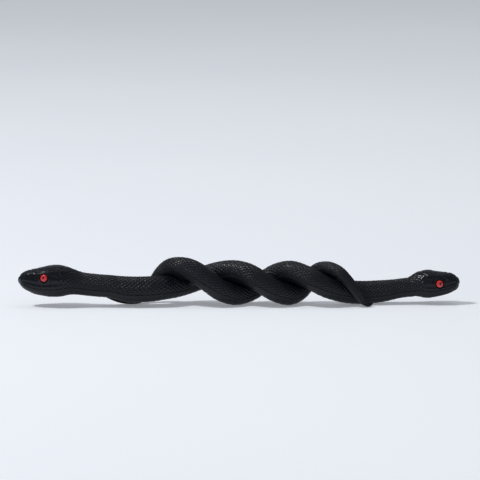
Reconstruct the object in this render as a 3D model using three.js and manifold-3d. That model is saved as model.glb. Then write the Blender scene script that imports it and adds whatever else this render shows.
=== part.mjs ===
// Two rigid toy snakes wound round each other along X, a brain teaser that comes apart by unscrewing.
// The left snake's head points to -X and the right snake's to +X. Each snake is moulded in two halves,
// a scaled back and a smooth belly, and has two glued-in eyes. Millimetres, +Z up, the floor at z = 0.
import * as THREE from 'three';
import { LoftGeometry } from 'three/addons/geometries/LoftGeometry.js';
import { mergeVertices } from 'three/addons/utils/BufferGeometryUtils.js';
import Module from 'manifold-3d';

// The twist: a right-handed double helix round an axis along X.
const PITCH = 65.5;
const COIL_RADIUS = 7.1;
const AXIS_HEIGHT = 13.55;
const LEFT_TOP_X = -0.7;
const RIGHT_TOP_X = LEFT_TOP_X - PITCH / 2;
const COIL_STEP = PITCH / 8;

// The two halves of a snake.
const BACK_EDGE_LEVEL = -0.3;
const BELLY_EDGE_LEVEL = -0.35;
const BACK_POINTS = 15;
const BELLY_POINTS = 9;
const RINGS_PER_ANCHOR = 2;

// Eyes: a domed bead on a short shank, glued in a round socket.
const EYE_RADIUS = 2.2;
const EYE_DOME = 1.5;
const EYE_SHANK = 1.4;
const EYE_DOME_STEPS = 7;
const EYE_SIDES = 24;
const EYE_LIFT = 0.8;
const SOCKET_GAP = 0.15;
const SOCKET_REACH = 4.5;

// The pin lies on the twist axis inside the right snake's head.
const PIN_RADIUS = 1.4;
const PIN_START_X = 110;
const PIN_LENGTH = 11;
const PIN_GAP = 0.2;
const PIN_CHAMFER = 0.3;
const POCKET_DROP = 6;

const SEARCH_STEP = 0.0005;
const MERGE_DISTANCE = 1e-4;
const FLOOR_BLOCK = { length: 300, width: 60, depth: 4 };

// Anchors run from the tail tip towards the snout: [x, y, z, half width, half height].
// Between the tail and the neck the centreline is the helix itself, with the girths of coilGirths.
const leftSnake = {
  topX: LEFT_TOP_X,
  tail: [
    [81.6, -6.9, 2.0, 0.5, 0.5],
    [79.4, -7.3, 1.2, 1.35, 1.35],
    [76.6, -8.0, 2.6, 2.0, 2.0],
    [73.0, -9.18, 6.97, 2.78, 2.78],
    [70.0, -9.92, 11.21, 3.19, 3.19],
    [66.8, -9.82, 15.55, 3.52, 3.52],
    [61.6, -7.38, 20.61, 3.89, 3.89],
    [57.5, -3.67, 22.27, 4.25, 4.25],
    [53.4, 0.1, 22.5, 4.5, 4.5],
    [49.0, 3.6, 20.8, 5.0, 5.0],
    [45.0, 6.5, 16.9, 5.2, 5.2],
    [40.8, 6.6, 11.5, 5.7, 5.7],
    [36.0, 3.6, 7.6, 6.2, 6.2],
  ],
  coil: { fromX: 30.0, toX: -2.0, startGirth: 6.75, endGirth: 6.9 },
  neck: [
    [-8.0, 3.6, 20.1, 6.9, 6.9],
    [-14.0, 6.4, 18.6, 6.9, 6.9],
    [-19.5, 7.9, 16.7, 6.95, 6.95],
    [-25.0, 8.5, 14.6, 7.0, 7.0],
    [-32.0, 7.7, 12.4, 7.2, 7.2],
    [-36.9, 4.6, 11.3, 7.1, 7.1],
    [-41.8, 0.4, 10.7, 7.0, 7.0],
    [-47.3, -3.7, 10.9, 7.4, 7.5],
    [-53.0, -5.4, 10.7, 7.8, 7.95],
    [-60.0, -6.1, 10.4, 7.9, 8.1],
    [-67.2, -6.3, 10.5, 7.8, 8.1],
    [-72.6, -6.4, 11.3, 7.3, 7.6],
    [-78.0, -6.4, 12.3, 6.8, 7.1],
    [-87.0, -6.0, 12.9, 6.7, 7.1],
    [-95.7, -5.5, 13.8, 6.7, 7.15],
    [-99.3, -5.3, 14.4, 7.1, 7.5],
    [-103.0, -5.1, 15.0, 8.0, 8.3],
    [-106.7, -5.0, 15.4, 9.2, 9.3],
    [-111.6, -5.0, 15.6, 10.4, 9.8],
    [-116.5, -5.0, 15.4, 10.1, 9.55],
    [-120.1, -5.0, 15.3, 9.3, 8.85],
    [-123.8, -5.0, 15.4, 8.3, 8.15],
    [-127.5, -5.0, 15.8, 7.2, 7.0],
    [-131.1, -5.0, 16.1, 5.9, 5.6],
    [-133.4, -5.0, 16.2, 4.2, 3.9],
    [-134.6, -5.0, 16.2, 2.2, 2.0],
  ],
  eye: { x: -118.9, forward: -0.3, rise: 0.36 },
};

const rightSnake = {
  topX: RIGHT_TOP_X,
  tail: [
    [-82.4, -1.8, 5.6, 0.5, 0.5],
    [-78.0, -0.8, 4.3, 1.4, 1.4],
    [-73.0, 0.7, 2.9, 2.0, 2.0],
    [-67.2, 2.2, 2.4, 2.5, 2.5],
    [-62.0, 4.4, 2.9, 2.9, 2.9],
    [-58.0, 7.2, 5.2, 3.1, 3.1],
    [-54.0, 9.2, 10.1, 3.4, 3.4],
    [-50.5, 9.1, 15.7, 3.9, 3.9],
    [-47.0, 6.7, 20.0, 4.4, 4.4],
    [-42.2, 2.0, 23.5, 5.1, 5.1],
    [-37.2, -1.8, 24.1, 5.8, 5.9],
    [-32.0, -3.9, 23.3, 6.4, 6.4],
    [-27.0, -5.6, 21.3, 6.6, 6.6],
    [-22.0, -7.0, 18.0, 6.7, 6.7],
    [-17.0, -7.4, 14.1, 6.7, 6.7],
  ],
  coil: { fromX: -11.0, toX: 40.0, startGirth: 6.65, endGirth: 6.7 },
  neck: [
    [46.0, -7.3, 15.9, 6.7, 6.7],
    [50.0, -7.0, 13.6, 6.7, 6.7],
    [54.5, -5.8, 11.5, 6.8, 6.8],
    [59.0, -3.8, 9.9, 6.9, 6.9],
    [63.5, -1.6, 8.6, 7.1, 7.1],
    [69.6, 1.3, 7.6, 7.3, 7.3],
    [76.9, 3.3, 7.1, 7.2, 7.25],
    [83.0, 4.0, 7.4, 7.0, 7.1],
    [89.2, 4.3, 8.0, 6.7, 6.8],
    [92.8, 4.5, 8.5, 6.5, 6.5],
    [96.5, 4.7, 9.1, 6.2, 6.2],
    [101.4, 4.9, 9.8, 6.1, 6.1],
    [105.1, 5.0, 10.2, 6.6, 6.2],
    [107.5, 5.0, 10.9, 7.4, 6.85],
    [111.2, 5.0, 11.8, 8.7, 8.2],
    [116.1, 5.0, 12.2, 9.0, 8.7],
    [119.8, 5.0, 12.2, 8.5, 8.1],
    [123.4, 5.0, 12.4, 7.6, 7.55],
    [127.1, 5.0, 12.8, 6.7, 6.9],
    [129.6, 5.0, 13.2, 6.0, 6.2],
    [132.0, 5.0, 13.7, 5.0, 5.35],
    [133.6, 5.0, 14.2, 3.7, 4.0],
    [134.5, 5.0, 14.5, 2.1, 2.2],
  ],
  eye: { x: 122.8, forward: 0.3, rise: 0.12 },
};

const black = { color: 0x1b1c22, roughness: 0.5, metalness: 0 };
const eyeRed = { color: 0xd0141c, roughness: 0.12, metalness: 0 };
const pinSteel = { color: 0x9a9c9e, roughness: 0.4, metalness: 1 };

// A point of the twist: phase 0 is the top of a coil, and the strand comes forward (-Y) as x grows.
function coilPoint(x, topX) {
  const phase = ((x - topX) / PITCH) * 2 * Math.PI;
  const y = -COIL_RADIUS * Math.sin(phase);
  const z = AXIS_HEIGHT + COIL_RADIUS * Math.cos(phase);
  return [x, y, z];
}

function coilAnchors(snake) {
  const { fromX, toX, startGirth, endGirth } = snake.coil;
  const steps = Math.round(Math.abs(toX - fromX) / COIL_STEP);
  const anchors = [];
  for (let i = 0; i <= steps; i++) {
    const part = i / steps;
    const girth = THREE.MathUtils.lerp(startGirth, endGirth, part);
    const x = THREE.MathUtils.lerp(fromX, toX, part);
    anchors.push([...coilPoint(x, snake.topX), girth, girth]);
  }
  return anchors;
}

// The centreline and the girth of a snake as two curves that share one parameter.
function snakeCurves(snake) {
  const anchors = [...snake.tail, ...coilAnchors(snake), ...snake.neck];
  return {
    steps: (anchors.length - 1) * RINGS_PER_ANCHOR,
    centreline: new THREE.CatmullRomCurve3(anchors.map(([x, y, z]) => new THREE.Vector3(x, y, z))),
    girth: new THREE.CatmullRomCurve3(anchors.map(([, , , wide, high]) => new THREE.Vector3(wide, high, 0))),
  };
}

// The cross-section's own axes at a place on the centreline: sideways stays level.
function sectionFrame(curves, part) {
  const centre = curves.centreline.getPoint(part);
  const along = curves.centreline.getTangent(part);
  const sideways = new THREE.Vector3(0, 0, 1).cross(along).normalize();
  const up = new THREE.Vector3().crossVectors(along, sideways);
  const girth = curves.girth.getPoint(part);
  return { centre, sideways, up, halfWidth: girth.x, halfHeight: girth.y };
}

// One half's section: an elliptical arc over the back or under the belly, closed by the parting face.
function halfSection(frame, isBack) {
  const edge = Math.asin(isBack ? BACK_EDGE_LEVEL : BELLY_EDGE_LEVEL);
  const start = isBack ? edge : Math.PI - edge;
  const sweep = isBack ? Math.PI - 2 * edge : Math.PI + 2 * edge;
  const count = isBack ? BACK_POINTS : BELLY_POINTS;
  const points = [];
  for (let i = 0; i < count; i++) {
    const angle = start + (sweep * i) / (count - 1);
    const point = frame.centre.clone();
    point.addScaledVector(frame.sideways, frame.halfWidth * Math.cos(angle));
    point.addScaledVector(frame.up, frame.halfHeight * Math.sin(angle));
    points.push(point);
  }
  return points;
}

function halfGeometry(curves, isBack) {
  const sections = [];
  for (let i = 0; i <= curves.steps; i++) {
    sections.push(halfSection(sectionFrame(curves, i / curves.steps), isBack));
  }
  return new LoftGeometry(sections, { capStart: true, capEnd: true });
}

const wasm = await Module();
wasm.setup();

function toSolid(geometry) {
  const bare = new THREE.BufferGeometry();
  bare.setAttribute('position', geometry.getAttribute('position'));
  bare.setIndex(geometry.getIndex());
  const merged = mergeVertices(bare, MERGE_DISTANCE);
  return new wasm.Manifold(
    new wasm.Mesh({
      numProp: 3,
      vertProperties: merged.attributes.position.array,
      triVerts: new Uint32Array(merged.index.array),
    }),
  );
}

function toGeometry(solid) {
  const mesh = solid.getMesh();
  const geometry = new THREE.BufferGeometry();
  geometry.setAttribute('position', new THREE.BufferAttribute(mesh.vertProperties, 3));
  geometry.setIndex(new THREE.BufferAttribute(mesh.triVerts, 1));
  geometry.computeVertexNormals();
  return geometry;
}

// Everything below the floor, cut away so that the coils rest on small flats.
function floorBlock() {
  const block = new THREE.BoxGeometry(FLOOR_BLOCK.length, FLOOR_BLOCK.width, FLOOR_BLOCK.depth);
  block.translate(0, 0, -FLOOR_BLOCK.depth / 2);
  return toSolid(block);
}

// Where an eye sits on the head's side, and which way it looks. side is 1 or -1 along the section.
function eyeMatrix(snake, curves, side) {
  const { x, forward, rise } = snake.eye;
  let part = 1;
  while (Math.abs(curves.centreline.getPoint(part).x) > Math.abs(x)) part -= SEARCH_STEP;
  const frame = sectionFrame(curves, part);
  const angle = Math.asin(rise);
  const seat = frame.centre.clone();
  seat.addScaledVector(frame.sideways, side * frame.halfWidth * Math.cos(angle));
  seat.addScaledVector(frame.up, frame.halfHeight * Math.sin(angle));
  const looking = new THREE.Vector3(forward, 0, rise * EYE_LIFT);
  looking.addScaledVector(frame.sideways, side).normalize();
  const turn = new THREE.Quaternion().setFromUnitVectors(new THREE.Vector3(0, 1, 0), looking);
  return new THREE.Matrix4().compose(seat, turn, new THREE.Vector3(1, 1, 1));
}

// A lathe profile, from the shank's inner end to the top of the dome.
function eyeGeometry() {
  const profile = [new THREE.Vector2(0, -EYE_SHANK), new THREE.Vector2(EYE_RADIUS, -EYE_SHANK)];
  for (let i = 0; i < EYE_DOME_STEPS; i++) {
    const angle = (i / EYE_DOME_STEPS) * (Math.PI / 2);
    profile.push(new THREE.Vector2(EYE_RADIUS * Math.cos(angle), EYE_DOME * Math.sin(angle)));
  }
  profile.push(new THREE.Vector2(0, EYE_DOME));
  return new THREE.LatheGeometry(profile, EYE_SIDES);
}

function socketGeometry() {
  const depth = EYE_SHANK + SOCKET_GAP;
  const socket = new THREE.CylinderGeometry(
    EYE_RADIUS + SOCKET_GAP, EYE_RADIUS + SOCKET_GAP, SOCKET_REACH + depth, EYE_SIDES,
  );
  socket.translate(0, (SOCKET_REACH - depth) / 2, 0);
  return socket;
}

function pinGeometry() {
  const profile = [
    new THREE.Vector2(0, 0),
    new THREE.Vector2(PIN_RADIUS - PIN_CHAMFER, 0),
    new THREE.Vector2(PIN_RADIUS, PIN_CHAMFER),
    new THREE.Vector2(PIN_RADIUS, PIN_LENGTH - PIN_CHAMFER),
    new THREE.Vector2(PIN_RADIUS - PIN_CHAMFER, PIN_LENGTH),
    new THREE.Vector2(0, PIN_LENGTH),
  ];
  const pin = new THREE.LatheGeometry(profile, EYE_SIDES);
  pin.rotateZ(-Math.PI / 2);
  pin.translate(PIN_START_X, 0, AXIS_HEIGHT);
  return pin;
}

// The pin's pocket in the head: a round-topped slot, open down to the parting face.
function pinPocket() {
  const radius = PIN_RADIUS + PIN_GAP;
  const length = PIN_LENGTH + 2 * PIN_GAP;
  const middleX = PIN_START_X + PIN_LENGTH / 2;
  const round = new THREE.CylinderGeometry(radius, radius, length, EYE_SIDES);
  round.rotateZ(Math.PI / 2);
  round.translate(middleX, 0, AXIS_HEIGHT);
  const slot = new THREE.BoxGeometry(length, 2 * radius, POCKET_DROP);
  slot.translate(middleX, 0, AXIS_HEIGHT - POCKET_DROP / 2);
  return toSolid(round).add(toSolid(slot));
}

function named(geometry, name, look) {
  const mesh = new THREE.Mesh(geometry, new THREE.MeshStandardMaterial(look));
  mesh.name = name;
  return mesh;
}

// nearSide is the side of the section frame, 1 or -1, that faces -Y: the two snakes point opposite ways.
function buildSnake(snake, side, nearSide, extraCut) {
  const curves = snakeCurves(snake);
  let back = toSolid(halfGeometry(curves, true));
  const belly = toSolid(halfGeometry(curves, false)).subtract(floorBlock());
  const parts = new THREE.Group();
  for (const [place, direction] of [['front', nearSide], ['rear', -nearSide]]) {
    const matrix = eyeMatrix(snake, curves, direction);
    back = back.subtract(toSolid(socketGeometry().applyMatrix4(matrix)));
    parts.add(named(eyeGeometry().applyMatrix4(matrix), `${side}_${place}_eye`, eyeRed));
  }
  if (extraCut) back = back.subtract(extraCut);
  parts.add(named(toGeometry(back), `${side}_back_half`, black));
  parts.add(named(toGeometry(belly), `${side}_belly_half`, black));
  return parts;
}

const group = new THREE.Group();
group.add(buildSnake(leftSnake, 'left', 1, null));
group.add(buildSnake(rightSnake, 'right', -1, pinPocket()));
group.add(named(pinGeometry(), 'twist_pin', pinSteel));

export default group;
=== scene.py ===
"""Looks for the twisty snake puzzle: two black toy snakes wound round each other.

Shapes are worked out in millimetres and made in metres, in the CAD frame.
"""

import math

import bmesh
import bpy
import numpy as np
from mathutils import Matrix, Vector


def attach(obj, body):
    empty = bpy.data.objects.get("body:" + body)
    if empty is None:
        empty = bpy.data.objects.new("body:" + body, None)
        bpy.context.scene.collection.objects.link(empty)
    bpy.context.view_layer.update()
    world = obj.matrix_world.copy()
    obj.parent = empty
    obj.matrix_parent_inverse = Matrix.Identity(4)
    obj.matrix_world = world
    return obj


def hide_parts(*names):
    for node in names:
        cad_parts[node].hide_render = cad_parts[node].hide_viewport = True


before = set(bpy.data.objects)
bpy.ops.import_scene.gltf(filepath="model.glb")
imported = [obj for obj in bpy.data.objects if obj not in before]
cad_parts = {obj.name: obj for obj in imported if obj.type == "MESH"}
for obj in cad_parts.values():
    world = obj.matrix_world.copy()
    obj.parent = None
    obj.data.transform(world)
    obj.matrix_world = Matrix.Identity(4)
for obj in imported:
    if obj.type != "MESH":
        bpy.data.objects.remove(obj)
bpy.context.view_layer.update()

MM = 0.001

# The twist, as in the CAD: a right-handed double helix round an axis along X.
PITCH = 65.5
COIL_RADIUS = 7.1
AXIS_HEIGHT = 13.55
COIL_STEP = PITCH / 8
LEFT_TOP_X = -0.7
RIGHT_TOP_X = LEFT_TOP_X - PITCH / 2

# Where the scaled back meets the smooth belly, as a share of the half height.
BACK_EDGE = -0.32
BELLY_EDGE = -0.335

# The skins lie just inside the CAD surface. They stand out where the strands touch, most of all
# where a tail crosses the other snake's neck.
SKIN_INSET = 0.08
CONTACT_SWELL = 0.5
CONTACT_POWER = 3
END_SWELL = 0.5
END_SWELL_PLACES = (-43.0, 58.5)
END_SWELL_WIDTH = 4.5
TWIST_FROM_X = -48.0
TWIST_TO_X = 64.0
TWIST_FADE = 4.0

# A half's edges turn inwards to a lip, at most this share of the way to the centreline.
LIP_DEPTH = 1.0
LIP_LIMIT = 0.6

# Both ends are rounded off in rings, over a share of the last girth.
TIP_ROUNDING = 0.35
TIP_RINGS = 4
SMALLEST_RING = 0.02

# Scales: diamonds in offset rows. SCALE_GRID is even, so that the diamonds' edges lie on the
# grid's diagonals.
SCALE_ROWS = 11
SCALE_GRID = 8
SCALE_LENGTH = 2.9
FULL_GIRTH = 6.6
SCALE_DOME = 0.11
SCALE_GROOVE = 0.3
GROOVE_SHARE = 0.22
SCALE_TILT = 0.2
SMALLEST_SCALE = 1.1

# Belly plates: wide bands that overlap towards the tail.
PLATE_LENGTH = 3.6
PLATE_RELIEF = 0.16
PLATE_PROFILE = (0.0, 0.06, 0.16, 0.4, 0.7, 0.94)
BELLY_COLUMNS = 36

# Head: the grooves between its plates, in shares of the head's length from the snout
# and of the way round from the crown's middle to the lip.
HEAD_PLATES = [
    [(0.12, 0.0), (0.36, 0.0)],
    [(0.23, 0.0), (0.24, 0.4)],
    [(0.36, 0.0), (0.38, 0.22), (0.4, 0.46)],
    [(0.38, 0.22), (0.58, 0.2), (0.69, 0.0)],
    [(0.58, 0.2), (0.66, 0.46)],
    [(0.12, 0.38), (0.28, 0.44), (0.4, 0.46), (0.66, 0.46), (0.88, 0.42)],
    [(0.69, 0.0), (1.0, 0.0)],
    [(1.0, 0.0), (0.97, 0.24), (0.88, 0.42), (0.86, 0.64)],
    [(0.24, 0.42), (0.23, 0.84)],
    [(0.37, 0.46), (0.38, 0.84)],
    [(0.7, 0.46), (0.71, 0.84)],
    [(0.71, 0.65), (1.02, 0.64)],
    [(0.07, 0.84), (0.5, 0.86), (0.98, 0.84)],
]
LIP_PLATES = (0.13, 0.25, 0.37, 0.49, 0.61, 0.73, 0.86)
LIP_TOP = 0.85
GROOVE_DEPTH = 0.34
GROOVE_WIDTH = 0.34
ROUND_POWER = 2.0
HEAD_SQUARENESS = 2.7
JAW_SQUARENESS_SHARE = 0.5
HEAD_SHAPE_FADE = (0.75, 1.15)
SNOUT_ROUND_SHARE = 0.25
HEAD_GRID = 2 * SCALE_GRID
ROUNDING_GUARD = 0.01

# Ridges on the head: height in mm, place and width as shares of the way round, and where they
# rise and fade, in shares of the head's length from the snout.
HEAD_RIDGES = {
    "brow": (0.55, 0.44, 0.09, (0.3, 0.45), (0.75, 1.0)),
    "snout edge": (0.3, 0.42, 0.08, (0.08, 0.2), (0.35, 0.5)),
    "lip": (0.22, 0.93, 0.05, (0.06, 0.14), (0.8, 1.0)),
}
# Hollows in the head: depth in mm, place and width round it, place and width along it.
HEAD_HOLLOWS = {
    "before the eye": (0.45, 0.62, 0.12, 0.34, 0.1),
    "temple": (0.3, 0.62, 0.12, 0.78, 0.14),
}
MOUTH_RISE = (0.04, 0.12)
MOUTH_FADE = (0.85, 1.0)
UPPER_MOUTH_DEPTH = 0.45
LOWER_MOUTH_DEPTH = 0.35
CHIN_GROOVE_DEPTH = 0.35
JAW_GROOVE_DEPTH = 0.15
NOSTRIL_PLACE = 0.105
NOSTRIL_SHARE = 0.6
NOSTRIL_RADIUS = 0.5
NOSTRIL_DEPTH = 0.8

# The crest attribute, which drives wear, gloss and painted shade (a darker colour in grooves, a lighter one
# on crests): on a scale's flank, the head and the belly plates.
FLANK_CREST = 0.4
HEAD_CREST = 0.8
BELLY_CREST = 0.7

# Eyes: a glossy bead with a small upright pupil, in a socket with a raised rim.
EYE_RADIUS = 2.2
EYE_DOME = 1.45
EYE_SEGMENTS = 64
EYE_SHANK = 1.2
PUPIL = (0.62, 0.95)
PUPIL_RINGS = 5
BEAD_RINGS = 21
SOCKET_DEPTH = 1.5
RIM_RADIUS = 3.0
RIM_HEIGHT = 0.32
RIM_WIDTH = 0.42
SOCKET_REACH = 4.0
SOCKET_EDGE = (-0.05, 0.45)

# Anchors run from the tail tip towards the snout: (x, y, z, half width, half height), in millimetres.
LEFT_SNAKE = {
    "name": "left",
    "top_x": LEFT_TOP_X,
    "tail": [
        (81.6, -6.9, 2.0, 0.5, 0.5),
        (79.4, -7.3, 1.2, 1.35, 1.35),
        (76.6, -8.0, 2.6, 2.0, 2.0),
        (73.0, -9.18, 6.97, 2.78, 2.78),
        (70.0, -9.92, 11.21, 3.19, 3.19),
        (66.8, -9.82, 15.55, 3.52, 3.52),
        (61.6, -7.38, 20.61, 3.89, 3.89),
        (57.5, -3.67, 22.27, 4.25, 4.25),
        (53.4, 0.1, 22.5, 4.5, 4.5),
        (49.0, 3.6, 20.8, 5.0, 5.0),
        (45.0, 6.5, 16.9, 5.2, 5.2),
        (40.8, 6.6, 11.5, 5.7, 5.7),
        (36.0, 3.6, 7.6, 6.2, 6.2),
    ],
    "coil": (30.0, -2.0, 6.75, 6.9),
    "neck": [
        (-8.0, 3.6, 20.1, 6.9, 6.9),
        (-14.0, 6.4, 18.6, 6.9, 6.9),
        (-19.5, 7.9, 16.7, 6.95, 6.95),
        (-25.0, 8.5, 14.6, 7.0, 7.0),
        (-32.0, 7.7, 12.4, 7.2, 7.2),
        (-36.9, 4.6, 11.3, 7.1, 7.1),
        (-41.8, 0.4, 10.7, 7.0, 7.0),
        (-47.3, -3.7, 10.9, 7.4, 7.5),
        (-53.0, -5.4, 10.7, 7.8, 7.95),
        (-60.0, -6.1, 10.4, 7.9, 8.1),
        (-67.2, -6.3, 10.5, 7.8, 8.1),
        (-72.6, -6.4, 11.3, 7.3, 7.6),
        (-78.0, -6.4, 12.3, 6.8, 7.1),
        (-87.0, -6.0, 12.9, 6.7, 7.1),
        (-95.7, -5.5, 13.8, 6.7, 7.15),
        (-99.3, -5.3, 14.4, 7.1, 7.5),
        (-103.0, -5.1, 15.0, 8.0, 8.3),
        (-106.7, -5.0, 15.4, 9.2, 9.3),
        (-111.6, -5.0, 15.6, 10.4, 9.8),
        (-116.5, -5.0, 15.4, 10.1, 9.55),
        (-120.1, -5.0, 15.3, 9.3, 8.85),
        (-123.8, -5.0, 15.4, 8.3, 8.15),
        (-127.5, -5.0, 15.8, 7.2, 7.0),
        (-131.1, -5.0, 16.1, 5.9, 5.6),
        (-133.4, -5.0, 16.2, 4.2, 3.9),
        (-134.6, -5.0, 16.2, 2.2, 2.0),
    ],
    "eye": {"x": -118.9, "forward": -0.3, "rise": 0.36},
    "front_side": 1,
    "head_length": 28.0,
}

RIGHT_SNAKE = {
    "name": "right",
    "top_x": RIGHT_TOP_X,
    "tail": [
        (-82.4, -1.8, 5.6, 0.5, 0.5),
        (-78.0, -0.8, 4.3, 1.4, 1.4),
        (-73.0, 0.7, 2.9, 2.0, 2.0),
        (-67.2, 2.2, 2.4, 2.5, 2.5),
        (-62.0, 4.4, 2.9, 2.9, 2.9),
        (-58.0, 7.2, 5.2, 3.1, 3.1),
        (-54.0, 9.2, 10.1, 3.4, 3.4),
        (-50.5, 9.1, 15.7, 3.9, 3.9),
        (-47.0, 6.7, 20.0, 4.4, 4.4),
        (-42.2, 2.0, 23.5, 5.1, 5.1),
        (-37.2, -1.8, 24.1, 5.8, 5.9),
        (-32.0, -3.9, 23.3, 6.4, 6.4),
        (-27.0, -5.6, 21.3, 6.6, 6.6),
        (-22.0, -7.0, 18.0, 6.7, 6.7),
        (-17.0, -7.4, 14.1, 6.7, 6.7),
    ],
    "coil": (-11.0, 40.0, 6.65, 6.7),
    "neck": [
        (46.0, -7.3, 15.9, 6.7, 6.7),
        (50.0, -7.0, 13.6, 6.7, 6.7),
        (54.5, -5.8, 11.5, 6.8, 6.8),
        (59.0, -3.8, 9.9, 6.9, 6.9),
        (63.5, -1.6, 8.6, 7.1, 7.1),
        (69.6, 1.3, 7.6, 7.3, 7.3),
        (76.9, 3.3, 7.1, 7.2, 7.25),
        (83.0, 4.0, 7.4, 7.0, 7.1),
        (89.2, 4.3, 8.0, 6.7, 6.8),
        (92.8, 4.5, 8.5, 6.5, 6.5),
        (96.5, 4.7, 9.1, 6.2, 6.2),
        (101.4, 4.9, 9.8, 6.1, 6.1),
        (105.1, 5.0, 10.2, 6.6, 6.2),
        (107.5, 5.0, 10.9, 7.4, 6.85),
        (111.2, 5.0, 11.8, 8.7, 8.2),
        (116.1, 5.0, 12.2, 9.0, 8.7),
        (119.8, 5.0, 12.2, 8.5, 8.1),
        (123.4, 5.0, 12.4, 7.6, 7.55),
        (127.1, 5.0, 12.8, 6.7, 6.9),
        (129.6, 5.0, 13.2, 6.0, 6.2),
        (132.0, 5.0, 13.7, 5.0, 5.35),
        (133.6, 5.0, 14.2, 3.7, 4.0),
        (134.5, 5.0, 14.5, 2.1, 2.2),
    ],
    "eye": {"x": 122.8, "forward": 0.3, "rise": 0.12},
    "front_side": -1,
    "head_length": 22.5,
}


# ---- Centreline ----


def coil_anchors(snake):
    """The twisted stretch: phase 0 is the top of a coil, and the strand comes forward (-Y) as x grows."""
    from_x, to_x, start_girth, end_girth = snake["coil"]
    steps = round(abs(to_x - from_x) / COIL_STEP)
    anchors = []
    for part in np.linspace(0.0, 1.0, steps + 1):
        x = from_x + (to_x - from_x) * part
        phase = (x - snake["top_x"]) / PITCH * 2 * math.pi
        y = -COIL_RADIUS * math.sin(phase)
        z = AXIS_HEIGHT + COIL_RADIUS * math.cos(phase)
        girth = start_girth + (end_girth - start_girth) * part
        anchors.append((x, y, z, girth, girth))
    return anchors


def spline(points, parts):
    """A centripetal Catmull-Rom curve through the points, at each part (0 to 1) of the way along."""
    points = np.asarray(points, float)
    ends = np.vstack([2 * points[0] - points[1], points, 2 * points[-1] - points[-2]])
    place = np.asarray(parts) * (len(points) - 1)
    first = np.minimum(place.astype(int), len(points) - 2)
    w = (place - first)[:, None]
    p0, p1, p2, p3 = (ends[first + k] for k in range(4))
    knots = [np.sqrt(np.linalg.norm(b - a, axis=1))[:, None] for a, b in ((p0, p1), (p1, p2), (p2, p3))]
    k0, k1, k2 = (np.maximum(knot, 1e-4) for knot in knots)
    start = ((p1 - p0) / k0 - (p2 - p0) / (k0 + k1) + (p2 - p1) / k1) * k1
    end = ((p2 - p1) / k1 - (p3 - p1) / (k1 + k2) + (p3 - p2) / k2) * k1
    square = -3 * p1 + 3 * p2 - 2 * start - end
    cube = 2 * p1 - 2 * p2 + start + end
    return p1 + start * w + square * w**2 + cube * w**3


class Strand:
    """A snake's centreline with its section axes and girth, looked up by distance from the tail tip."""

    SAMPLES = 6001

    def __init__(self, snake):
        anchors = np.array(snake["tail"] + coil_anchors(snake) + snake["neck"], float)
        parts = np.linspace(0.0, 1.0, self.SAMPLES)
        self.centre = spline(anchors[:, :3], parts)
        self.girth = spline(np.c_[anchors[:, 3:], np.zeros(len(anchors))], parts)[:, :2]
        gaps = np.linalg.norm(np.diff(self.centre, axis=0), axis=1)
        self.distance = np.r_[0.0, np.cumsum(gaps)]
        self.length = self.distance[-1]
        along = np.gradient(self.centre, axis=0)
        along /= np.linalg.norm(along, axis=1)[:, None]
        sideways = np.cross([0.0, 0.0, 1.0], along)
        sideways /= np.linalg.norm(sideways, axis=1)[:, None]
        self.along = along
        self.sideways = sideways
        self.up = np.cross(along, sideways)

    def at(self, distance, table):
        columns = [np.interp(distance, self.distance, column) for column in table.T]
        return np.stack(columns, axis=-1)


def smooth_step(value, low, high):
    part = np.clip((value - low) / (high - low), 0.0, 1.0)
    return part * part * (3 - 2 * part)


def bump(value, middle, width):
    return np.exp(-(((value - middle) / width) ** 2))


def span(value, rise, fade):
    """0, then 1 from the rise to the fade, then 0 again."""
    return smooth_step(value, *rise) * (1 - smooth_step(value, *fade))


# ---- Skin shapes ----


def row_distances(strand, spacing_of, grid_of):
    """Distances along the strand, one row of vertices each, and every row's place in counted units."""
    unit = np.r_[0.0, np.cumsum(np.diff(strand.distance) / spacing_of(strand.distance[1:]))]
    places = grid_of(unit)
    return np.interp(places, unit, strand.distance), places


def girth_share(strand, distance):
    girth = strand.at(distance, strand.girth).mean(axis=-1)
    return np.clip(girth / FULL_GIRTH, 0.12, 1.0)


def scale_length_at(strand, distance):
    return np.maximum(SCALE_LENGTH * girth_share(strand, distance) ** 0.7, SMALLEST_SCALE)


def section_points(strand, distances, angles, squareness):
    """A grid of points on the strand's surface: one row for each distance, one column for each angle."""
    centre = strand.at(distances, strand.centre)[:, None, :]
    sideways = strand.at(distances, strand.sideways)[:, None, :]
    up = strand.at(distances, strand.up)[:, None, :]
    girth = strand.at(distances, strand.girth)[:, None, :] - SKIN_INSET
    power = ROUND_POWER / squareness[:, None]
    across = np.sign(np.cos(angles)) * np.abs(np.cos(angles)) ** power
    above = np.sign(np.sin(angles)) * np.abs(np.sin(angles)) ** power
    across_mm = girth[..., 0] * across
    above_mm = girth[..., 1] * above
    return centre + sideways * across_mm[..., None] + up * above_mm[..., None]


def outward(points, strand, distances):
    """Unit normals of a grid of surface points, pointing away from the centreline."""
    normal = np.cross(np.gradient(points, axis=1), np.gradient(points, axis=0))
    normal /= np.maximum(np.linalg.norm(normal, axis=2), 1e-9)[..., None]
    away = points - strand.at(distances, strand.centre)[:, None, :]
    facing = np.sign((normal * away).sum(axis=2))
    return normal * facing[..., None]


def scale_relief(along, across):
    """A lattice of diamonds: how domed each place is, and 0 in a groove to 1 clear of it."""
    p = along + across
    q = along - across
    p_off = p - np.round(p)
    q_off = q - np.round(q)
    dome = (1 - 4 * p_off**2) * (1 - 4 * q_off**2) - SCALE_TILT * (p_off + q_off)
    from_edge = 0.5 - np.maximum(np.abs(p_off), np.abs(q_off))
    inside = smooth_step(from_edge, 0.0, GROOVE_SHARE)
    return dome, inside


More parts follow.
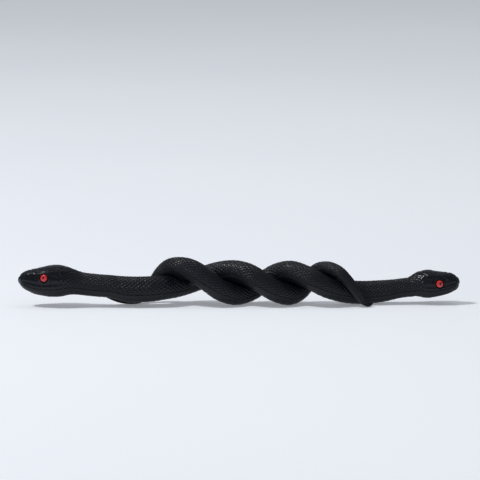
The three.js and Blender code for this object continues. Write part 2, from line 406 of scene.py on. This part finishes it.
def contact_share(strand, distances, normal):
    """From 0 to 1: how squarely the skin of the twisted stretch faces the twist axis, where strands touch."""
    centre = strand.at(distances, strand.centre)
    inward = np.array([0.0, 0.0, AXIS_HEIGHT]) - centre * np.array([0.0, 1.0, 1.0])
    inward /= np.linalg.norm(inward, axis=1)[:, None]
    facing = np.clip((normal * inward[:, None, :]).sum(axis=2), 0.0, 1.0) ** CONTACT_POWER
    x = centre[:, 0]
    in_twist = span(x, (TWIST_FROM_X - TWIST_FADE, TWIST_FROM_X), (TWIST_TO_X, TWIST_TO_X + TWIST_FADE))
    return facing * in_twist[:, None]


def contact_swell(strand, distances):
    """How far the skin stands out where the strands touch: more where a tail crosses the other's neck."""
    x = strand.at(distances, strand.centre)[:, 0]
    swell = CONTACT_SWELL + END_SWELL * sum(bump(x, place, END_SWELL_WIDTH) for place in END_SWELL_PLACES)
    return swell[:, None]


def groove_field(from_snout, side_share, head_length, quarter_arc):
    """How deep the skin lies in the nearest groove of the head's plates, 0 to 1."""
    lines = list(HEAD_PLATES)
    lines += [[(place, LIP_TOP), (place + 0.01, 1.05)] for place in LIP_PLATES]
    nearest = np.full(np.broadcast(from_snout, side_share).shape, 1e3)
    x = from_snout
    y = side_share * quarter_arc
    for line in lines:
        for (u0, w0), (u1, w1) in zip(line[:-1], line[1:]):
            ax, ay = u0 * head_length, w0 * quarter_arc
            bx, by = u1 * head_length, w1 * quarter_arc
            dx, dy = bx - ax, by - ay
            share = np.clip(((x - ax) * dx + (y - ay) * dy) / (dx * dx + dy * dy), 0.0, 1.0)
            gap = np.hypot(x - ax - share * dx, y - ay - share * dy)
            nearest = np.minimum(nearest, gap)
    return np.exp(-((nearest / GROOVE_WIDTH) ** 2))


def squareness_at(from_snout, head, extra):
    """The section's power: round on the body, squarer on the head and round again at the snout."""
    head_share = 1 - smooth_step(from_snout, HEAD_SHAPE_FADE[0] * head, HEAD_SHAPE_FADE[1] * head)
    behind_snout = smooth_step(from_snout, 0.0, SNOUT_ROUND_SHARE * head)
    return ROUND_POWER + extra * (head_share * behind_snout)[:, 0]


def head_forms(u, side_share):
    """How far the head's ridges, hollows and mouth line stand out or sink in, in mm."""
    move = -UPPER_MOUTH_DEPTH * smooth_step(side_share, 0.96, 1.0) * span(u, MOUTH_RISE, MOUTH_FADE)
    for height, place, width, rise, fade in HEAD_RIDGES.values():
        move = move + height * bump(side_share, place, width) * span(u, rise, fade)
    for depth, place, width, along, reach in HEAD_HOLLOWS.values():
        move = move - depth * bump(side_share, place, width) * bump(u, along, reach)
    return move


def eye_place(strand, snake, side):
    """The eye's seat on the head's side and the way it looks, as in the CAD."""
    eye = snake["eye"]
    reach = np.abs(strand.centre[:, 0]) * np.sign(strand.centre[:, 0] * eye["x"])
    index = len(reach) - 1 - int(np.argmax(reach[::-1] <= abs(eye["x"])))
    angle = math.asin(eye["rise"])
    seat = strand.centre[index].copy()
    seat += strand.sideways[index] * side * strand.girth[index, 0] * math.cos(angle)
    seat += strand.up[index] * strand.girth[index, 1] * math.sin(angle)
    looking = np.array([eye["forward"], 0.0, eye["rise"] * 0.8])
    looking += strand.sideways[index] * side
    return seat, looking / np.linalg.norm(looking)


def sink_sockets(points, normal, sockets):
    """Presses a socket into the skin behind each eye and raises a rim round it."""
    for seat, looking in sockets:
        offset = points - seat
        depth = offset @ looking
        ring = np.linalg.norm(offset - depth[..., None] * looking, axis=-1)
        near = np.abs(depth) < SOCKET_REACH
        inside = 1 - smooth_step(ring - EYE_RADIUS, *SOCKET_EDGE)
        rim = bump(ring, RIM_RADIUS, RIM_WIDTH)
        move = near * (rim * RIM_HEIGHT - inside * SOCKET_DEPTH)
        points = points + normal * move[..., None]
    return points


def round_tips(points, strand, distances):
    """Rounds the grid off at both ends, so that the tail and the snout close smoothly."""
    centre = strand.at(distances, strand.centre)
    caps = []
    for row, direction in ((0, -1.0), (-1, 1.0)):
        reach = TIP_ROUNDING * strand.girth[0 if row == 0 else -1].mean()
        along = strand.along[row] * direction
        rings = []
        for angle in np.linspace(0.0, math.pi / 2, TIP_RINGS + 1)[1:]:
            ring = centre[row] + (points[row] - centre[row]) * max(math.cos(angle), SMALLEST_RING)
            rings.append(ring + along * reach * math.sin(angle))
        caps.append(rings)
    return np.concatenate([np.array(caps[0][::-1]), points, np.array(caps[1])])


def closed_mesh(name, points, inner, crest, anti_diagonal, material):
    """A closed half: the outer grid, a lip turned inwards on both edges, a parting face and two end caps."""
    rows, columns = points.shape[:2]
    lip_a = points[:, 0] + (inner - points[:, 0]) * lip_share(points[:, 0], inner)
    lip_b = points[:, -1] + (inner - points[:, -1]) * lip_share(points[:, -1], inner)
    grid = np.concatenate([lip_a[:, None], points, lip_b[:, None]], axis=1)
    wide = columns + 2
    faces = []
    for i in range(rows - 1):
        for j in range(wide):
            a = i * wide + j
            b = i * wide + (j + 1) % wide
            c = b + wide
            d = a + wide
            on_skin = 1 <= j < wide - 2
            if on_skin and anti_diagonal(i, j - 1):
                faces += [(a, b, d), (b, c, d)]
            else:
                faces += [(a, b, c), (a, c, d)]
    faces.append(tuple(range(wide))[::-1])
    faces.append(tuple((rows - 1) * wide + j for j in range(wide)))
    mesh = bpy.data.meshes.new(name)
    mesh.from_pydata((grid.reshape(-1, 3) * MM).tolist(), [], faces)
    heights = np.concatenate([np.zeros((rows, 1)), crest, np.zeros((rows, 1))], axis=1)
    attribute = mesh.attributes.new("crest", "FLOAT", "POINT")
    attribute.data.foreach_set("value", heights.ravel().astype(np.float32))
    mesh.validate()
    mesh.shade_smooth()
    mesh.materials.append(material)
    piece = bpy.data.objects.new(name, mesh)
    bpy.context.scene.collection.objects.link(piece)
    make_normals_point_out(piece)
    return piece


def lip_share(edge, inner):
    reach = np.linalg.norm(inner - edge, axis=1)
    return np.minimum(LIP_DEPTH / np.maximum(reach, 1e-6), LIP_LIMIT)[:, None]


def make_normals_point_out(piece):
    work = bmesh.new()
    work.from_mesh(piece.data)
    bmesh.ops.recalc_face_normals(work, faces=work.faces)
    work.to_mesh(piece.data)
    work.free()


def build_back(snake, strand, sockets, material):
    """The scaled back of one snake, with its plated head."""
    head = snake["head_length"]
    fine_from = strand.length - 0.8 * head

    def grid_of(unit):
        coarse = np.arange(0.0, np.interp(fine_from, strand.distance, unit), 1.0 / SCALE_GRID)
        start = coarse[-1] + 1.0 / SCALE_GRID
        fine = np.arange(start, unit[-1], 1.0 / HEAD_GRID)
        return np.r_[coarse, fine, unit[-1]]

    distances, places = row_distances(strand, lambda d: scale_length_at(strand, d), grid_of)
    edge = math.asin(BACK_EDGE)
    columns = np.linspace(0.0, SCALE_ROWS, SCALE_ROWS * SCALE_GRID + 1)
    angles = (edge + (math.pi - 2 * edge) * columns / SCALE_ROWS)[None, :]

    from_snout = (strand.length - distances)[:, None]
    side_share = np.abs(angles - math.pi / 2) / (math.pi / 2 - edge)
    squareness = squareness_at(from_snout, head, HEAD_SQUARENESS - ROUND_POWER)
    points = section_points(strand, distances, angles, squareness)
    normal = outward(points, strand, distances)

    size = (scale_length_at(strand, distances) / SCALE_LENGTH)[:, None]
    plates_end = (0.95 - 0.35 * side_share**2) * head
    scales_start = (1.25 - 0.2 * side_share) * head
    fade = smooth_step(from_snout, plates_end, scales_start)
    dome, inside = scale_relief(places[:, None], columns[None, :])
    contact = contact_share(strand, distances, normal)
    relief = SCALE_DOME * (dome - 1) + SCALE_GROOVE * (inside - 1)
    scales = relief * size * fade * (1 - contact) + contact_swell(strand, distances) * contact

    u = from_snout / head
    quarter_arc = strand.at(distances, strand.girth).mean(axis=1)[:, None] * (math.pi / 2 - edge)
    plates = groove_field(from_snout, side_share, head, quarter_arc)
    plates = plates * (1 - smooth_step(u, 0.98, 1.15)) * smooth_step(u, 0.02, 0.1)
    nostril_arc = (side_share - NOSTRIL_SHARE) * quarter_arc
    nostril = np.exp(-((np.hypot((u - NOSTRIL_PLACE) * head, nostril_arc) / NOSTRIL_RADIUS) ** 2))
    move = scales - GROOVE_DEPTH * plates + head_forms(u, side_share) - NOSTRIL_DEPTH * nostril
    points = points + normal * move[..., None]
    points = sink_sockets(points, normal, sockets)

    # Scale domes and head plates get a high crest, grooves and nostrils a low one, so grooves and nostrils
    # come out with painted shade.
    scale_crest = fade * inside * (FLANK_CREST + (1 - FLANK_CREST) * dome)
    head_crest = (1 - fade) * HEAD_CREST * (1 - plates - nostril)
    crest = np.clip(scale_crest + head_crest, 0.0, 1.0)
    full = round_tips(points, strand, distances)
    crest = np.pad(crest, ((TIP_RINGS, TIP_RINGS), (0, 0)), mode="edge")
    places = np.pad(places, (TIP_RINGS, TIP_RINGS), mode="edge")
    inner = np.pad(strand.at(distances, strand.centre), ((TIP_RINGS, TIP_RINGS), (0, 0)), mode="edge")

    def anti_diagonal(i, j):
        along_first = (places[i] + ROUNDING_GUARD) % 1.0 < 0.5
        across_first = (columns[j] + ROUNDING_GUARD) % 1.0 < 0.5
        return along_first == across_first

    return closed_mesh(f"{snake['name']}_scaled_back", full, inner, crest, anti_diagonal, material)


def build_belly(snake, strand, material):
    """The smooth belly with its wide plates, and the lower jaw."""
    head = snake["head_length"]

    def grid_of(unit):
        plates = np.arange(0.0, math.floor(unit[-1]))
        fine = (plates[:, None] + np.array(PLATE_PROFILE)[None, :]).ravel()
        return np.r_[fine, np.linspace(math.floor(unit[-1]), unit[-1], 5)]

    distances, places = row_distances(
        strand, lambda d: PLATE_LENGTH * girth_share(strand, d) ** 0.7, grid_of
    )
    edge = math.asin(BELLY_EDGE)
    shares = np.linspace(-1.0, 1.0, BELLY_COLUMNS + 1)
    angles = (1.5 * math.pi + (math.pi / 2 + edge) * shares)[None, :]
    from_snout = (strand.length - distances)[:, None]
    squareness = squareness_at(from_snout, head, JAW_SQUARENESS_SHARE * (HEAD_SQUARENESS - ROUND_POWER))
    points = section_points(strand, distances, angles, squareness)
    normal = outward(points, strand, distances)

    u = from_snout / head
    body = smooth_step(u, 0.9, 1.1)
    wedge = 1 - (places % 1.0)[:, None]
    step = smooth_step(places % 1.0, 0.0, 0.16)[:, None]
    centred = 1 - smooth_step(np.abs(shares), 0.8, 0.95)[None, :]
    size = girth_share(strand, distances)[:, None]
    plate = PLATE_RELIEF * size * body * centred * (wedge * step - 1)
    chin = -CHIN_GROOVE_DEPTH * np.exp(-((shares[None, :] / 0.04) ** 2)) * smooth_step(u, 0.15, 0.3)
    chin = chin * (1 - smooth_step(u, 0.7, 0.95))
    jaw = -JAW_GROOVE_DEPTH * bump(np.abs(shares)[None, :], 0.62, 0.03) * smooth_step(u, 0.1, 0.3)
    jaw = jaw * (1 - smooth_step(u, 0.8, 1.0))
    near_lip = smooth_step(np.abs(shares), 0.93, 1.0)[None, :]
    mouth = -LOWER_MOUTH_DEPTH * near_lip * span(u, MOUTH_RISE, MOUTH_FADE)
    contact = contact_share(strand, distances, normal)
    plate = plate * (1 - contact) + contact_swell(strand, distances) * contact
    points = points + normal * (plate + chin + jaw + mouth)[..., None]

    full = round_tips(points, strand, distances)
    full[..., 2] = np.maximum(full[..., 2], 0.0)
    # Each belly plate is painted lighter where it stands high and darker where it sinks to the next plate's
    # step: painted shade.
    crest = np.broadcast_to(wedge * step, plate.shape) * BELLY_CREST
    crest = np.pad(crest, ((TIP_RINGS, TIP_RINGS), (0, 0)), mode="edge")
    inner = np.pad(strand.at(distances, strand.centre), ((TIP_RINGS, TIP_RINGS), (0, 0)), mode="edge")
    inner[:, 2] = np.maximum(inner[:, 2], 0.1)
    return closed_mesh(
        f"{snake['name']}_smooth_belly", full, inner, crest, lambda i, j: (i + j) % 2 == 0, material
    )


def build_eye(name, seat, looking, red, pupil):
    """A glossy bead: a dome whose middle is an upright pupil, on a short shank."""
    looking = Vector(looking)
    right = Vector((0.0, 0.0, 1.0)).cross(looking).normalized()
    up = looking.cross(right)
    rings = [(share, None) for share in np.linspace(0.0, 1.0, PUPIL_RINGS + 1)[1:]]
    rings += [(None, share) for share in np.linspace(0.0, 1.0, BEAD_RINGS + 1)[1:]]
    verts = [Vector(seat) + looking * EYE_DOME]
    for pupil_share, bead_share in rings:
        for k in range(EYE_SEGMENTS):
            turn = 2 * math.pi * k / EYE_SEGMENTS
            oval = Vector((PUPIL[0] * math.cos(turn), PUPIL[1] * math.sin(turn)))
            circle = Vector((EYE_RADIUS * math.cos(turn), EYE_RADIUS * math.sin(turn)))
            if bead_share is None:
                flat = oval * pupil_share
            else:
                flat = oval.lerp(circle, math.sin(bead_share * math.pi / 2))
            reach = min(flat.length / EYE_RADIUS, 1.0)
            height = EYE_DOME * math.sqrt(1 - reach * reach)
            verts.append(Vector(seat) + right * flat.x + up * flat.y + looking * height)
    last = len(verts) - EYE_SEGMENTS
    for k in range(EYE_SEGMENTS):
        verts.append(verts[last + k] - looking * EYE_SHANK)
    verts.append(Vector(seat) - looking * EYE_SHANK)
    faces = [(0, 1 + k, 1 + (k + 1) % EYE_SEGMENTS) for k in range(EYE_SEGMENTS)]
    bands = len(rings)
    for band in range(bands):
        start = 1 + band * EYE_SEGMENTS
        for k in range(EYE_SEGMENTS):
            a, b = start + k, start + (k + 1) % EYE_SEGMENTS
            faces.append((a, a + EYE_SEGMENTS, b + EYE_SEGMENTS, b))
    base = 1 + bands * EYE_SEGMENTS
    faces += [(len(verts) - 1, base + (k + 1) % EYE_SEGMENTS, base + k) for k in range(EYE_SEGMENTS)]
    mesh = bpy.data.meshes.new(name)
    mesh.from_pydata([v * MM for v in verts], [], faces)
    mesh.materials.append(red)
    mesh.materials.append(pupil)
    dark = EYE_SEGMENTS * PUPIL_RINGS
    for polygon in mesh.polygons:
        polygon.material_index = 1 if polygon.index < dark else 0
    mesh.shade_smooth()
    piece = bpy.data.objects.new(name, mesh)
    bpy.context.scene.collection.objects.link(piece)
    make_normals_point_out(piece)
    return piece


# ---- Materials ----


def new_material(name):
    material = bpy.data.materials.new(name)
    material.use_nodes = True
    nodes = material.node_tree.nodes
    return material, nodes, material.node_tree.links, nodes["Principled BSDF"]


def noise(nodes, links, scale, detail, vector):
    node = nodes.new("ShaderNodeTexNoise")
    node.inputs["Scale"].default_value = scale
    node.inputs["Detail"].default_value = detail
    links.new(vector, node.inputs["Vector"])
    return node.outputs["Fac"]


def ramp(nodes, links, factor, stops):
    node = nodes.new("ShaderNodeValToRGB")
    for element, (place, colour) in zip(node.color_ramp.elements, (stops[0], stops[-1])):
        element.position = place
        element.color = (*colour, 1.0)
    for place, colour in stops[1:-1]:
        element = node.color_ramp.elements.new(place)
        element.color = (*colour, 1.0)
    links.new(factor, node.inputs["Fac"])
    return node.outputs["Color"]


def value_range(nodes, links, value, low, high):
    node = nodes.new("ShaderNodeMapRange")
    node.inputs["To Min"].default_value = low
    node.inputs["To Max"].default_value = high
    links.new(value, node.inputs["Value"])
    return node.outputs["Result"]


def combine(nodes, links, operation, first, second):
    node = nodes.new("ShaderNodeMath")
    node.operation = operation
    links.new(first, node.inputs[0])
    if isinstance(second, (int, float)):
        node.inputs[1].default_value = second
    else:
        links.new(second, node.inputs[1])
    return node.outputs["Value"]


def add_bump(nodes, links, shader, height, distance, strength):
    node = nodes.new("ShaderNodeBump")
    node.inputs["Distance"].default_value = distance
    node.inputs["Strength"].default_value = strength
    links.new(height, node.inputs["Height"])
    links.new(node.outputs["Normal"], shader.inputs["Normal"])


def snake_plastic(name, worn_and_lit_colour, rough_low, rough_high):
    """Near-black moulded plastic: dull grooves darkened with painted shade, crests painted a little lighter
    as painted highlight mixed with wear, and glossier.
    """
    material, nodes, links, shader = new_material(name)
    place = nodes.new("ShaderNodeTexCoord").outputs["Object"]
    crest = nodes.new("ShaderNodeAttribute")
    crest.attribute_name = "crest"
    patches = noise(nodes, links, 55.0, 3.0, place)
    grain = noise(nodes, links, 5200.0, 2.0, place)
    scuffs = noise(nodes, links, 900.0, 4.0, place)
    wear = value_range(nodes, links, patches, 0.3, 1.0)
    # The crest lifts the colour on scale domes and head plates and drops it in grooves and nostrils: painted
    # shade and painted highlight, broken up by random wear patches.
    crest_wear_and_light = combine(nodes, links, "MULTIPLY", crest.outputs["Fac"], wear)
    shade = combine(nodes, links, "ADD", crest_wear_and_light, value_range(nodes, links, scuffs, -0.25, 0.25))
    colour = ramp(nodes, links, shade, [(0.0, (0.0036, 0.0048, 0.0078)), (1.0, worn_and_lit_colour)])
    links.new(colour, shader.inputs["Base Color"])
    polish = value_range(nodes, links, crest.outputs["Fac"], rough_high, rough_low)
    rough = combine(nodes, links, "ADD", polish, value_range(nodes, links, scuffs, -0.08, 0.08))
    links.new(rough, shader.inputs["Roughness"])
    shader.inputs["Specular IOR Level"].default_value = 0.26
    texture = combine(nodes, links, "ADD", grain, combine(nodes, links, "MULTIPLY", scuffs, 0.6))
    add_bump(nodes, links, shader, texture, 0.000006, 0.6)
    return material


def eye_red():
    material, nodes, links, shader = new_material("eye_red_gloss")
    place = nodes.new("ShaderNodeTexCoord").outputs["Object"]
    swirl = noise(nodes, links, 600.0, 3.0, place)
    colour = ramp(nodes, links, swirl, [(0.3, (0.52, 0.012, 0.016)), (0.7, (0.72, 0.02, 0.02))])
    links.new(colour, shader.inputs["Base Color"])
    links.new(value_range(nodes, links, swirl, 0.1, 0.2), shader.inputs["Roughness"])
    shader.inputs["Coat Weight"].default_value = 0.6
    shader.inputs["Coat Roughness"].default_value = 0.04
    add_bump(nodes, links, shader, noise(nodes, links, 2500.0, 2.0, place), 0.00001, 0.3)
    return material


def pupil_black():
    material, nodes, links, shader = new_material("pupil_black_gloss")
    place = nodes.new("ShaderNodeTexCoord").outputs["Object"]
    cloud = noise(nodes, links, 1500.0, 2.0, place)
    colour = ramp(nodes, links, cloud, [(0.3, (0.006, 0.004, 0.004)), (0.7, (0.02, 0.01, 0.008))])
    links.new(colour, shader.inputs["Base Color"])
    links.new(value_range(nodes, links, cloud, 0.08, 0.18), shader.inputs["Roughness"])
    add_bump(nodes, links, shader, cloud, 0.00001, 0.3)
    return material


def pin_steel():
    """Drawn steel wire with fine marks along its length."""
    material, nodes, links, shader = new_material("pin_brushed_steel")
    mapping = nodes.new("ShaderNodeMapping")
    mapping.inputs["Scale"].default_value = (0.03, 1.0, 1.0)
    links.new(nodes.new("ShaderNodeTexCoord").outputs["Object"], mapping.inputs["Vector"])
    marks = noise(nodes, links, 9000.0, 3.0, mapping.outputs["Vector"])
    colour = ramp(nodes, links, marks, [(0.3, (0.42, 0.42, 0.43)), (0.7, (0.62, 0.62, 0.63))])
    links.new(colour, shader.inputs["Base Color"])
    links.new(value_range(nodes, links, marks, 0.28, 0.45), shader.inputs["Roughness"])
    shader.inputs["Metallic"].default_value = 1.0
    add_bump(nodes, links, shader, marks, 0.00001, 0.5)
    return material


def glowing_floor_paper():
    material, nodes, links, shader = new_material("floor_pale_paper_glowing")
    place = nodes.new("ShaderNodeTexCoord").outputs["Object"]
    cloud = noise(nodes, links, 1.3, 2.0, place)
    colour = ramp(nodes, links, cloud, [(0.3, (0.80, 0.83, 0.88)), (0.7, (0.84, 0.865, 0.905))])
    links.new(colour, shader.inputs["Base Color"])
    links.new(value_range(nodes, links, cloud, 0.5, 0.6), shader.inputs["Roughness"])
    shader.inputs["Specular IOR Level"].default_value = 0.2
    # The floor glows a little though it is no lamp: painted light that lifts the shadows on it and lights the
    # snakes from below.
    shader.inputs["Emission Color"].default_value = (0.93, 0.96, 1.0, 1.0)
    shader.inputs["Emission Strength"].default_value = FLOOR_GLOW
    return material


# ---- The object ----


def build_snake(snake, back_material, belly_material, red, pupil):
    strand = Strand(snake)
    name = snake["name"]
    body = f"{name}_snake"
    sides = {"front": snake["front_side"], "rear": -snake["front_side"]}
    places = {where: eye_place(strand, snake, side) for where, side in sides.items()}
    back = build_back(snake, strand, list(places.values()), back_material)
    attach(back, body)
    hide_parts(f"{name}_back_half")
    belly = build_belly(snake, strand, belly_material)
    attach(belly, body)
    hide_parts(f"{name}_belly_half")
    for where, (seat, looking) in places.items():
        eye = build_eye(f"{name}_{where}_eye_bead", seat, looking, red, pupil)
        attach(eye, body)
        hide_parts(f"{name}_{where}_eye")


back_plastic = snake_plastic("snake_scale_plastic", (0.0062, 0.0080, 0.0124), 0.09, 0.46)
belly_plastic = snake_plastic("snake_belly_plastic", (0.0060, 0.0078, 0.0116), 0.4, 0.46)
red_gloss = eye_red()
pupil_gloss = pupil_black()
for one_snake in (LEFT_SNAKE, RIGHT_SNAKE):
    build_snake(one_snake, back_plastic, belly_plastic, red_gloss, pupil_gloss)

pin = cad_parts["twist_pin"]
pin.data.materials.clear()
pin.data.materials.append(pin_steel())


# ---- Studio ----

FLOOR_RADIUS = 6.0
# FLOOR_GLOW is painted light: the floor's own glow, which lifts its shadows.
FLOOR_GLOW = 0.22
CAMERA_ELEVATION = math.radians(8.0)
CAMERA_DISTANCE = 2.0
VIEW_WIDTH = 0.2938
AIM = Vector((0.00043, 0.0, 0.0401))
WORLD_COLOUR = (0.86, 0.9, 1.0, 1.0)
WORLD_STRENGTH = 0.24

# Softboxes, all turned to the origin: name, place, size, power and colour.
COOL_WHITE = (0.94, 0.97, 1.0)
SOFTBOXES = [
    ("key_softbox", (-1.65, -0.2, 2.5), (0.42, 0.42), 54.0, (1.0, 1.0, 1.0)),
    ("top_softbox", (0.6, 0.9, 3.6), (2.6, 1.6), 11.0, COOL_WHITE),
    ("front_fill", (0.8, -3.4, 2.4), (2.4, 1.6), 7.0, COOL_WHITE),
]


def build_floor():
    sides = 96
    ring = []
    for k in range(sides):
        turn = 2 * math.pi * k / sides
        ring.append((FLOOR_RADIUS * math.cos(turn), FLOOR_RADIUS * math.sin(turn), 0.0))
    mesh = bpy.data.meshes.new("studio_floor")
    mesh.from_pydata(ring, [], [tuple(range(sides))])
    mesh.materials.append(glowing_floor_paper())
    floor = bpy.data.objects.new("studio_floor", mesh)
    bpy.context.scene.collection.objects.link(floor)


def add_softbox(name, place, size, power, colour):
    light = bpy.data.lights.new(name, "AREA")
    light.shape = "RECTANGLE"
    light.size, light.size_y = size
    light.energy = power
    light.color = colour
    lamp = bpy.data.objects.new(name, light)
    lamp.location = place
    lamp.rotation_mode = "QUATERNION"
    lamp.rotation_quaternion = (-Vector(place)).to_track_quat("-Z", "Y")
    bpy.context.scene.collection.objects.link(lamp)


def add_camera():
    data = bpy.data.cameras.new("camera")
    data.sensor_width = 36.0
    data.lens = data.sensor_width * CAMERA_DISTANCE / VIEW_WIDTH
    data.clip_start = 0.05
    data.clip_end = 50.0
    camera = bpy.data.objects.new("camera", data)
    back = Vector((0.0, -math.cos(CAMERA_ELEVATION), math.sin(CAMERA_ELEVATION)))
    camera.location = AIM + back * CAMERA_DISTANCE
    camera.rotation_mode = "QUATERNION"
    camera.rotation_quaternion = (-back).to_track_quat("-Z", "Y")
    bpy.context.scene.collection.objects.link(camera)
    bpy.context.scene.camera = camera


def set_world():
    world = bpy.data.worlds.new("studio")
    world.use_nodes = True
    background = world.node_tree.nodes["Background"]
    background.inputs["Color"].default_value = WORLD_COLOUR
    background.inputs["Strength"].default_value = WORLD_STRENGTH
    bpy.context.scene.world = world


build_floor()
for softbox in SOFTBOXES:
    add_softbox(*softbox)
add_camera()
set_world()
bpy.context.scene.view_settings.view_transform = "Standard"
